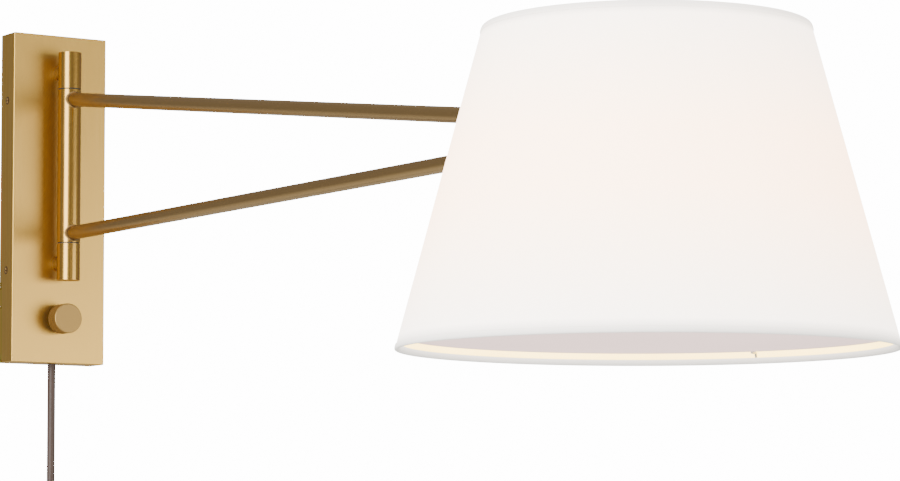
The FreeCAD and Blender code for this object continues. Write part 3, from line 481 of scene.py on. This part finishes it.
# Millimetres: the cord's thickness, the coil's centre, and the radius and depth of each turn's place
# in the bundle, in the order in which the turns are wound.
CORD = 5.5
COIL_CENTRE = (0.0, -10.0, -290.0)
COIL_SLOTS = [
    (37.0, -4.76), (34.25, 0.0), (31.5, -4.76), (26.0, -4.76), (28.75, 0.0),
    (26.0, 4.76), (31.5, 4.76), (37.0, 4.76), (39.75, 0.0),
]
TURNS = len(COIL_SLOTS) - 1


def coil_point(angle):
    """Point of the wound cord; each turn moves to its next place in the bundle a little earlier."""
    first_move, earlier_each_turn, length_of_move = 330, 40, 28
    turn = min(int(angle // 360), TURNS - 1)
    moves_at = first_move - earlier_each_turn * turn
    share = min(max((angle - 360 * turn - moves_at) / length_of_move + 0.5, 0.0), 1.0)
    share = share * share * (3 - 2 * share)
    radius, depth = (a + (b - a) * share for a, b in zip(COIL_SLOTS[turn], COIL_SLOTS[turn + 1]))
    spread = math.radians(angle)
    x, y, z = COIL_CENTRE
    return (x - radius * math.cos(spread), y + depth, z - radius * math.sin(spread))


def make_cord():
    """From the strain relief straight down, over to the coil's left side, round it and down to the plug."""
    route = [
        (0.0, -10.0, -98.9),
        (0.0, -10.0, -190.7),
        (0.0, -10.0, -214.0),
        (-12.0, -10.5, -234.0),
        (-28.0, -12.0, -254.0),
        (-36.5, -14.5, -275.0),
    ]
    points_a_turn = 24
    route += [coil_point(360 / points_a_turn * step) for step in range(TURNS * points_a_turn)]
    route += [
        (-39.75, -10.0, -293.0),
        (-39.0, -10.0, -304.0),
        (-37.2, -10.0, -314.0),
        (-37.0, -10.0, -326.0),
    ]
    curve = bpy.data.curves.new("cord", "CURVE")
    curve.dimensions = "3D"
    curve.resolution_u = 6
    curve.bevel_depth = CORD / 2 * MM
    curve.bevel_resolution = 5
    curve.use_fill_caps = True
    spline = curve.splines.new("NURBS")
    spline.points.add(len(route) - 1)
    for point, place in zip(spline.points, route):
        point.co = (*(MM * part for part in place), 1)
    spline.order_u = 3
    spline.use_endpoint_u = True
    return new_piece("cord", curve, "cord", "cord_brown", "base", "supply_cord", "cord_coil", "cord_tail")


def rounded_loop(half_x, half_y, corner, per_corner=6):
    """Rectangle with rounded corners, as points round it."""
    points = []
    for k, (sx, sy) in enumerate(((1, 1), (-1, 1), (-1, -1), (1, -1))):
        for step in range(per_corner):
            angle = math.radians(90 * k + 90 * step / (per_corner - 1))
            points.append((sx * (half_x - corner) + corner * math.cos(angle),
                           sy * (half_y - corner) + corner * math.sin(angle)))
    return points


def make_tie():
    """Strap round the bundle on the coil's left side, with its free end lapped over."""
    low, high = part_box("cord_tie")
    middle_z = (low[2] + high[2]) / 2
    centre_x, centre_y = COIL_CENTRE[0] - 32.6, COIL_CENTRE[1]
    half_x, half_y, corner = 9.9, 7.7, 3.4
    rings = []
    for offset, level in ((0.0, 0.0), (0.25, 0.0), (0.9, 0.35), (0.9, 7.65), (0.25, 8.0), (0.0, 8.0)):
        loop = rounded_loop(half_x + offset, half_y + offset, corner + offset)
        rings.append([(MM * (centre_x + x), MM * (centre_y + y), low[2] + MM * level) for x, y in loop])
    tie = new_piece("cord_strap", rings_mesh("cord_strap", rings), "strap", "tie_black", "base", "cord_tie")
    flap_rings = []
    flap_start, flap_length, flap_thickness, flap_steps = -6.5, 11.5, 0.8, 8
    for k in range(flap_steps + 1):
        run = k / flap_steps
        x = centre_x + flap_start + flap_length * run
        lift = 0.95 + 0.9 * min(1.0, 4 * run, 6 * (1 - run) + 0.25)
        y = centre_y - half_y - lift
        half = 3.9 if run < 0.9 else 3.0
        section = ((-half, 0.0), (half, 0.0), (half, flap_thickness), (-half, flap_thickness))
        flap_rings.append([(MM * x, MM * (y + t), middle_z + MM * h) for h, t in section])
    flap_mesh = rings_mesh("cord_strap_end", flap_rings, capped=True)
    flap = new_piece("cord_strap_end", flap_mesh, "strap", "tie_black", "base")
    return tie, flap


def make_plug():
    """Flat two-blade plug, whose ribbed collar widens into the grip."""
    low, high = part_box("plug_body")
    centre = middle("plug_body")
    top = high[2]
    length = high[2] - low[2]
    steps = 56
    # Share of the length from the top, half width, half depth, and how square the section is.
    sections = [
        (0.0, 3.6, 3.6, 2.0), (0.03, 4.3, 4.3, 2.0), (0.10, 4.5, 4.4, 2.0), (0.115, 3.9, 3.8, 2.0),
        (0.15, 3.9, 3.8, 2.0), (0.165, 4.9, 4.7, 2.0), (0.215, 5.0, 4.8, 2.0), (0.23, 4.3, 4.1, 2.0),
        (0.265, 4.4, 4.2, 2.0), (0.285, 5.6, 5.1, 2.2), (0.35, 7.6, 6.0, 2.6), (0.43, 10.2, 6.9, 3.2),
        (0.52, 11.7, 7.3, 3.8), (0.66, 12.0, 7.5, 4.4), (0.94, 12.0, 7.5, 5.0), (0.985, 11.7, 7.2, 5.0),
        (1.0, 11.2, 6.7, 5.0),
    ]
    rings = []
    for run, half_x, half_y, power in sections:
        ring = []
        for k in range(steps):
            angle = 2 * math.pi * k / steps
            c, s = math.cos(angle), math.sin(angle)
            x = half_x * math.copysign(abs(c) ** (2 / power), c)
            y = half_y * math.copysign(abs(s) ** (2 / power), s)
            ring.append((centre.x + MM * x, centre.y + MM * y, top - length * run))
        rings.append(ring)
    mesh = rings_mesh("plug", rings, capped=True, sharp_angle=50)
    return new_piece("plug", mesh, "cord", "cord_brown", "base", "plug_body")


cord = make_cord()
strap, strap_end = make_tie()
plug = make_plug()
blades = softened("plug_blades", "bright_brass", "socket_brass", "base", bevel=0.0002)


# ---------------------------------------------------------------------------------------------
# Wall plate, column and arm
# ---------------------------------------------------------------------------------------------

def screw_head_rings():
    """Low domed head with a cross recess, on a short shank; X and Y lie across it, in millimetres."""
    steps = 64
    head, shank, tip = 2.8, 1.5, 0.6
    dome, recess, recess_steepness, arm_width, arm_reach = 0.35, 1.1, 2.4, 0.42, 1.75

    def ring(radius, travel):
        points = []
        for k in range(steps):
            angle = 2 * math.pi * k / steps
            x, y = radius * math.cos(angle), radius * math.sin(angle)
            points.append((x, y, travel(x, y)))
        return points

    def face(x, y):
        radius = math.hypot(x, y)
        in_arm = max(0.0, 1 - min(abs(x), abs(y)) / arm_width) * max(0.0, 1 - radius / arm_reach)
        return dome * (1 - (radius / head) ** 2) - min(recess, recess_steepness * in_arm)

    rings = [ring(radius, face) for radius in (0.00005, 0.4, 0.8, 1.2, 1.6, 2.0, 2.4, 2.7)]
    side = ((head, -0.02), (head - 0.05, -0.35), (shank, -1.3), (shank, -5.2), (tip, -5.6))
    return rings + [ring(radius, lambda x, y: travel) for radius, travel in side]


def make_cover_screws():
    """Two screws in each side of the cover, each turned as it came to rest."""
    low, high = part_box("cover_screws")
    half_head = (high[1] - low[1]) / 2
    middle_y = (low[1] + high[1]) / 2
    sunk = 0.6 * MM
    form = screw_head_rings()
    work = bmesh.new()
    for side, rest_angle in ((-1, -15), (1, 85)):
        for level, extra in ((low[2] + half_head, 0), (high[2] - half_head, 20)):
            turn = Matrix.Rotation(math.radians(rest_angle + extra), 3, "X")
            seat = Vector((side * (high[0] - sunk), middle_y, level))
            rows = []
            for ring in form:
                placed = [seat + turn @ Vector((side * MM * z, MM * x, MM * y)) for x, y, z in ring]
                rows.append([work.verts.new(point) for point in placed])
            skin(work, rows)
            work.faces.new(rows[0])
            work.faces.new(rows[-1])
    mesh = finish_mesh(work, "cover_screw_heads", 40)
    # The heads take the darkest brass copy, painted shade standing in for the dark recess round each head.
    return new_piece("cover_screw_heads", mesh, "shadow_dark_brass", "satin_brass", "base", "cover_screws")


def make_welds():
    """Concave brazed collars where the two rods meet the swivel tube."""
    tube_low, tube_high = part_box("swivel_tube")
    tube_radius = (tube_high[0] - tube_low[0]) / 2
    size, sunk = 0.0016, 0.00008
    upper_start, upper_drop, upper_run = 0.0681, 0.0935, 0.690
    steps, rows_up = 72, 8
    work = bmesh.new()
    for node, level, slope in (("lower_arm", middle("lower_arm").z, 0.0),
                               ("upper_arm", upper_start, math.atan2(upper_drop, upper_run))):
        low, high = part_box(node)
        radius = (high[0] - low[0]) / 2
        along = Vector((0, -math.cos(slope), -math.sin(slope)))
        above = Vector((0, -math.sin(slope), math.cos(slope)))
        start = Vector((0, COLUMN.y, level))
        rows = []
        for step in range(rows_up):
            t = step / (rows_up - 1) * math.pi / 2
            reach = radius + size * (1 - math.sin(t))
            rise = size * (1 - math.cos(t))
            row = []
            for k in range(steps):
                angle = 2 * math.pi * k / steps
                side = reach * math.cos(angle)
                lift = reach * math.sin(angle)
                depth = math.sqrt(max(tube_radius ** 2 - side ** 2, 0.0))
                travel = (depth + lift * above.y) / math.cos(slope) + rise - sunk
                row.append(work.verts.new(start + along * travel + Vector((side, 0, 0)) + above * lift))
            rows.append(row)
        skin(work, rows)
    mesh = finish_mesh(work, "arm_welds", 60)
    # The collars take the darkest brass copy, painted shade for the shadows where the rods meet the tube.
    return new_piece("arm_welds", mesh, "shadow_dark_brass", "satin_brass", "swing_arm")


def make_knob():
    """Plain round knob with a fine straight knurl round its side and a narrow bevel on its face."""
    low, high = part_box("dimmer_knob")
    radius = (high[0] - low[0]) / 2
    centre = ((low[0] + high[0]) / 2, high[1], (low[2] + high[2]) / 2)
    length = high[1] - low[1]
    shaft_hole = 0.0031
    grooves, groove_depth, points_a_groove = 72, 0.00022, 6
    back = [(shaft_hole, 0.0), (radius - 0.0008, 0.0), (radius - 0.0003, 0.0002), (radius, 0.0006)]
    knurled = [(radius, 0.0012), (radius, length - 0.0014)]
    face = [(radius, length - 0.0008), (radius - 0.00012, length - 0.0003), (radius - 0.0005, length),
            (radius - 0.0009, length), (0.004, length), (0.0001, length)]

    def knurl(reach, index, angle):
        if len(back) <= index < len(back) + len(knurled):
            return reach - groove_depth * (0.5 + 0.5 * math.cos(grooves * angle)) ** 2
        return reach

    rings = lathe_rings(back + knurled + face, centre, (0, -1, 0), grooves * points_a_groove, knurl)
    mesh = rings_mesh("knob", rings, capped=True, sharp_angle=40)
    even_normals(mesh)
    # The knob takes a darker copy of the brass, painted shade on its side and face.
    return new_piece("knob", mesh, "knob_shaded_brass", "satin_brass", "knob", "dimmer_knob")


softened("backplate_cover", "plate_brass", "satin_brass", "base", bevel=0.00025, segments=3)
make_cover_screws()
softened("wall_bracket", "steel", "steel", "base", bevel=0.0002)
# The posts and rods take the darker rod copy of the brass, painted shade.
for which in ("lower", "upper"):
    softened(f"{which}_post", "rod_shaded_brass", "satin_brass", "base")
    softened(f"{which}_knuckle", "column_brass", "satin_brass", "base", bevel=0.00022)
    softened(f"{which}_bush", "nylon", "bush_nylon", "base", bevel=0.0001)
    softened(f"{which}_stub", "steel", "steel", "swing_arm", bevel=0.0001)
    softened(f"{which}_arm", "rod_shaded_brass", "satin_brass", "swing_arm", bevel=0.0001)
softened("post_washers", "steel", "steel", "base", bevel=0.00012)
softened("post_nuts", "steel", "steel", "base", bevel=0.0002)
softened("swivel_tube", "column_brass", "satin_brass", "swing_arm", bevel=0.00022)
softened("arm_hub", "plate_brass", "satin_brass", "swing_arm", bevel=0.0004)
softened("hub_set_screw", "steel", "steel", "swing_arm", bevel=0.0001)
make_welds()
make_knob()
softened("dimmer_nut", "column_brass", "satin_brass", "base", bevel=0.0002)
softened("dimmer_shaft", "steel", "steel", "knob", bevel=0.0001)
softened("knob_set_screw", "steel", "steel", "knob", bevel=0.0001)
softened("dimmer_bushing", "steel", "steel", "base", bevel=0.0001)
softened("dimmer_body", "black_plastic", "dimmer_plastic", "base", bevel=0.0006, segments=3)
softened("strain_relief", "black_plastic", "dimmer_plastic", "base", bevel=0.0003)


# ---------------------------------------------------------------------------------------------
# Socket and bulb
# ---------------------------------------------------------------------------------------------

def make_bulb():
    """Frosted round-headed bulb whose neck flows into its cap."""
    low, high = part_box("bulb_glass")
    radius = (high[0] - low[0]) / 2
    top = high[2]
    ball = low[2] + radius
    neck, neck_length = 0.0125, 0.004
    joined_radius, joined_rise, joined_angle = 0.0285, 0.0094, 18.3
    neck_steps, ball_rings = 15, 18
    profile = [(neck - 0.0006, top), (neck, top - 0.001), (neck, top - neck_length)]
    for step in range(1, neck_steps):
        t = step / neck_steps
        ease = t * t * (3 - 2 * t)
        reach = neck + (joined_radius - neck) * (0.35 * t + 0.65 * ease)
        profile.append((reach, top - neck_length + (ball + joined_rise - top + neck_length) * t))
    for step in range(1, ball_rings + 1):
        angle = math.radians(joined_angle - (joined_angle + 90) * step / (ball_rings + 0.2))
        profile.append((max(radius * math.cos(angle), 0.0001), ball + radius * math.sin(angle)))
    rings = lathe_rings(profile, (0, AXIS_Y, 0), (0, 0, 1), 64)
    mesh = rings_mesh("bulb", rings, capped=True, sharp_angle=60)
    return new_piece("bulb", mesh, "bulb", "bulb_frosted", "swing_arm", "bulb_glass")


bulb = make_bulb()
softened("socket_shell", "phenolic", "socket_phenolic", "swing_arm", bevel=0.0003)
softened("socket_cap", "bright_brass", "socket_brass", "swing_arm", bevel=0.0003)
softened("socket_ring_nut", "white_enamel", "white_enamel", "swing_arm", bevel=0.0004)
for node, look, slot in (
    ("bulb_base", "bright_brass", "socket_brass"),
    ("socket_screw_shell", "bright_brass", "socket_brass"),
    ("socket_contact", "bright_brass", "socket_brass"),
    ("socket_insulator", "phenolic", "socket_phenolic"),
):
    softened(node, look, slot, "swing_arm", bevel=0.0001)


# ---------------------------------------------------------------------------------------------
# Shade
# ---------------------------------------------------------------------------------------------

SHADE_TOP_RADIUS, SHADE_BOTTOM_RADIUS, SHADE_HEIGHT, SHADE_SLANT = 0.0870, 0.13335, 0.172, 0.178
SHADE_SLOPE = (SHADE_BOTTOM_RADIUS - SHADE_TOP_RADIUS) / SHADE_HEIGHT
CLOTH_LOW, CLOTH_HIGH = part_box("shade_fabric")
CLOTH_RADIUS = (CLOTH_HIGH[0] - CLOTH_LOW[0]) / 2


def shade_radius(level):
    """Radius of the cloth's outside at a height."""
    return CLOTH_RADIUS - SHADE_SLOPE * (level - CLOTH_LOW[2])


def frustum_skin(name, offset, thickness, low, high, wander):
    """Thin conical skin; wander lets the cloth stand a hair in and out between its hems."""
    steps, rows = 240, 44
    swells_round, swells_up = 2.2, 14
    rings = []
    for depth, order in ((offset, range(rows + 1)), (offset + thickness, range(rows, -1, -1))):
        for row in order:
            level = low + (high - low) * row / rows
            free = math.sin(math.pi * row / rows)
            ring = []
            for k in range(steps):
                angle = 2 * math.pi * k / steps
                around = Vector((swells_round * math.cos(angle), swells_round * math.sin(angle),
                                 swells_up * level))
                reach = shade_radius(level) - depth + wander * free * noise.noise(around)
                ring.append((reach * math.sin(angle), AXIS_Y + reach * math.cos(angle), level))
            rings.append(ring)
    return rings_mesh(name, rings, sharp_angle=50)


def cut_slot(piece, half_width, low, high):
    """Upright oblong hole through the wall side of a skin, for the rods' eyelet."""
    inside, outside, steps = AXIS_Y + 0.07, AXIS_Y + 0.16, 32
    work = bmesh.new()
    ends = []
    for depth in (inside, outside):
        loop = []
        for k in range(steps):
            angle = 2 * math.pi * k / steps
            lift = high - half_width if k < steps / 2 else low + half_width
            point = (half_width * math.cos(angle), depth, lift + half_width * math.sin(angle))
            loop.append(work.verts.new(point))
        ends.append(loop)
    skin(work, ends)
    for loop in ends:
        work.faces.new(loop)
    tool = bpy.data.objects.new("slot_tool", finish_mesh(work, "slot_tool"))
    bpy.context.collection.objects.link(tool)
    cutter = piece.modifiers.new("slot", "BOOLEAN")
    cutter.operation = "DIFFERENCE"
    cutter.solver = "EXACT"
    cutter.object = tool
    bpy.context.view_layer.update()
    shape = bpy.data.meshes.new_from_object(piece.evaluated_get(bpy.context.evaluated_depsgraph_get()))
    piece.modifiers.clear()
    bpy.data.objects.remove(tool)
    return shape


def make_skin(name, node, look, slot, offset, thickness, wander):
    """Cloth or lining between the hems, with the eyelet's hole in it."""
    low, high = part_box(node)
    mesh = frustum_skin(name, offset, thickness, low[2], high[2], wander)
    rough = bpy.data.objects.new(f"{name}_blank", mesh)
    bpy.context.collection.objects.link(rough)
    slot_low, slot_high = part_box("shade_eyelet")
    flange = 0.0024
    half_width = (slot_high[0] - slot_low[0]) / 2 - flange
    shape = cut_slot(rough, half_width, slot_low[2] + flange, slot_high[2] - flange)
    bpy.data.objects.remove(rough)
    shape.shade_smooth()
    shape.set_sharp_from_angle(angle=math.radians(45))
    return new_piece(name, shape, look, slot, "swing_arm", node)


def hem_band(name, node, bottom):
    """Strip of the fabric folded round the shade's edge, with a soft rolled outside."""
    low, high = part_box(node)
    height = high[2] - low[2]
    outer = (high[0] - low[0]) / 2
    # Distance in from the slanting outside, and height over the strip's lower edge.
    if bottom:
        outline = [
            (0.0030, height), (0.0030, 0.0019), (0.0028, 0.0010), (0.0022, 0.0003), (0.0015, 0.0),
            (0.0009, 0.00005), (0.0004, 0.00035), (0.0001, 0.0009), (0.0, 0.0017), (0.0, height - 0.0004),
            (0.00012, height - 0.0001), (0.0005, height),
        ]
    else:
        outline = [
            (0.0005, 0.0), (0.00012, 0.0001), (0.0, 0.0004), (0.0, height - 0.0017),
            (0.0001, height - 0.0009), (0.0004, height - 0.00035), (0.0008, height - 0.00005),
            (0.0012, height), (0.0018, height - 0.0003), (0.0022, height - 0.0009),
            (0.0024, height - 0.0019), (0.0026, 0.0),
        ]
    steps, pucker_depth, puckers_round, puckers_up = 300, 0.00006, 40, 3000
    rings = []
    for inward, up in outline:
        ring = []
        for k in range(steps):
            angle = 2 * math.pi * k / steps
            around = Vector((puckers_round * math.cos(angle), puckers_round * math.sin(angle),
                             puckers_up * up))
            reach = outer - SHADE_SLOPE * up - inward + pucker_depth * noise.noise(around)
            ring.append((reach * math.sin(angle), AXIS_Y + reach * math.cos(angle), low[2] + up))
        rings.append(ring)
    mesh = rings_mesh(name, rings, sharp_angle=60)
    return new_piece(name, mesh, "linen", "shade_linen", "swing_arm", node)


CLOTH_THICKNESS = 0.0008
fabric = make_skin("shade_cloth", "shade_fabric", "linen", "shade_linen",
                   offset=0.0, thickness=CLOTH_THICKNESS, wander=0.00012)
liner = make_skin("shade_lining_film", "shade_liner", "lining", "shade_lining",
                  offset=CLOTH_THICKNESS, thickness=0.0006, wander=0.0)
bottom_hem = hem_band("shade_bottom_hem", "shade_bottom_trim", bottom=True)
top_hem = hem_band("shade_top_hem", "shade_top_trim", bottom=False)
softened("shade_eyelet", "column_brass", "satin_brass", "swing_arm", bevel=0.00025)
diffuser = softened("diffuser", "diffuser", "diffuser_acrylic", "swing_arm", bevel=0.0004, segments=3)

CARRIED = {
    "shade_bottom_ring": "steel",
    "shade_spider": "white_enamel",
    "diffuser_clips": "steel",
    "base_lead": "lead",
    "lamp_lead": "lead",
}
for node, look in CARRIED.items():
    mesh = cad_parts[node].data
    mesh.materials.clear()
    mesh.materials.append(LOOKS[look])


# ---------------------------------------------------------------------------------------------
# Floor and studio light
# ---------------------------------------------------------------------------------------------

def keep_glow_inside():
    """The lit pieces light only what hangs in the shade; the room is lit by the studio lamps."""
    inside = bpy.data.collections.new("inside_the_shade")
    for name in ("socket_shell_finished", "socket_ring_nut_finished", "arm_hub_finished", "bulb"):
        inside.objects.link(bpy.data.objects[name])
    for node in ("shade_spider", "diffuser_clips", "shade_bottom_ring"):
        inside.objects.link(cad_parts[node])
    for piece in (fabric, liner, bottom_hem, top_hem, bulb, diffuser):
        piece.light_linking.receiver_collection = inside


def make_floor():
    """Plain pale floor, which can be seen through from below."""
    mesh = bpy.data.meshes.new("floor")
    reach, level = 9.0, -0.75
    mesh.from_pydata([(-reach, -reach, level), (reach, -reach, level), (reach, reach, level),
                      (-reach, reach, level)], [], [(0, 1, 2, 3)])
    floor = bpy.data.objects.new("floor", mesh)
    bpy.context.collection.objects.link(floor)
    look = Shader("floor_paint", (0.80, 0.80, 0.79), 0.8)
    look.colour(look.mottle(1.5, (0.80, 0.80, 0.79), (0.82, 0.82, 0.81)))
    glow = 0.5
    lift = look.math("MULTIPLY", look.node("ShaderNodeLightPath").outputs["Is Camera Ray"], glow)
    look.principled.inputs["Emission Color"].default_value = (0.97, 0.98, 1.0, 1)
    look.link(lift, look.principled.inputs["Emission Strength"])
    under = look.node("ShaderNodeMixShader")
    look.link(look.node("ShaderNodeNewGeometry").outputs["Backfacing"], under.inputs[0])
    look.link(look.principled.outputs["BSDF"], under.inputs[1])
    look.link(look.node("ShaderNodeBsdfTransparent").outputs["BSDF"], under.inputs[2])
    look.link(under.outputs["Shader"], look.tree.nodes["Material Output"].inputs["Surface"])
    mesh.materials.append(look.material)


def stop_between_pieces(data):
    """Fades the lamp's light with each turn it takes between polished pieces that face each other."""
    data.use_nodes = True
    graph = Graph(data.node_tree)
    depth = graph.node("ShaderNodeLightPath").outputs["Ray Depth"]
    first, gone = 1.0, 2.4
    strength = data.node_tree.nodes["Emission"].inputs["Strength"]
    graph.link(graph.span(depth, 1.0, 0.0, first, gone), strength)


def soft_light(name, target, azimuth, elevation, distance, size, power, onward=True):
    """Area light that faces its target; azimuth runs from straight out of the wall towards +X."""
    data = bpy.data.lights.new(name, "AREA")
    data.shape = "RECTANGLE"
    data.size, data.size_y = size
    data.energy = power
    if not onward:
        stop_between_pieces(data)
    lamp = bpy.data.objects.new(name, data)
    a, e = math.radians(azimuth), math.radians(elevation)
    away = Vector((math.sin(a) * math.cos(e), -math.cos(a) * math.cos(e), math.sin(e)))
    lamp.location = Vector(target) + away * distance
    lamp.rotation_mode = "QUATERNION"
    lamp.rotation_quaternion = away.to_track_quat("Z", "Y")
    lamp.visible_camera = False
    bpy.context.collection.objects.link(lamp)


def make_world():
    """White backdrop, and a softer grey for light and reflections."""
    world = bpy.data.worlds.new("studio")
    world.use_nodes = True
    world.node_tree.nodes.clear()
    graph = Graph(world.node_tree)
    grounds = []
    for colour, strength in (((1.0, 0.97, 0.93), 0.23), ((1.0, 1.0, 1.0), 15.0)):
        ground = graph.node("ShaderNodeBackground")
        ground.inputs["Color"].default_value = (*colour, 1)
        ground.inputs["Strength"].default_value = strength
        grounds.append(ground.outputs[0])
    mixed = graph.node("ShaderNodeMixShader")
    graph.link(graph.node("ShaderNodeLightPath").outputs["Is Camera Ray"], mixed.inputs[0])
    for ground, socket in zip(grounds, mixed.inputs[1:]):
        graph.link(ground, socket)
    graph.link(mixed.outputs[0], graph.node("ShaderNodeOutputWorld").inputs["Surface"])
    bpy.context.scene.world = world


keep_glow_inside()
make_floor()
make_world()
soft_light("key", (0, -0.1, -0.02), azimuth=35, elevation=-7, distance=2.2, size=(1.5, 0.9), power=36,
           onward=False)
soft_light("side", (0, -0.1, 0.0), azimuth=-57, elevation=2, distance=2.4, size=(1.5, 2.2), power=175,
           onward=False)
soft_light("overhead", (0, -0.5, 0.0), azimuth=0, elevation=88, distance=3.2, size=(4.0, 4.0), power=90)
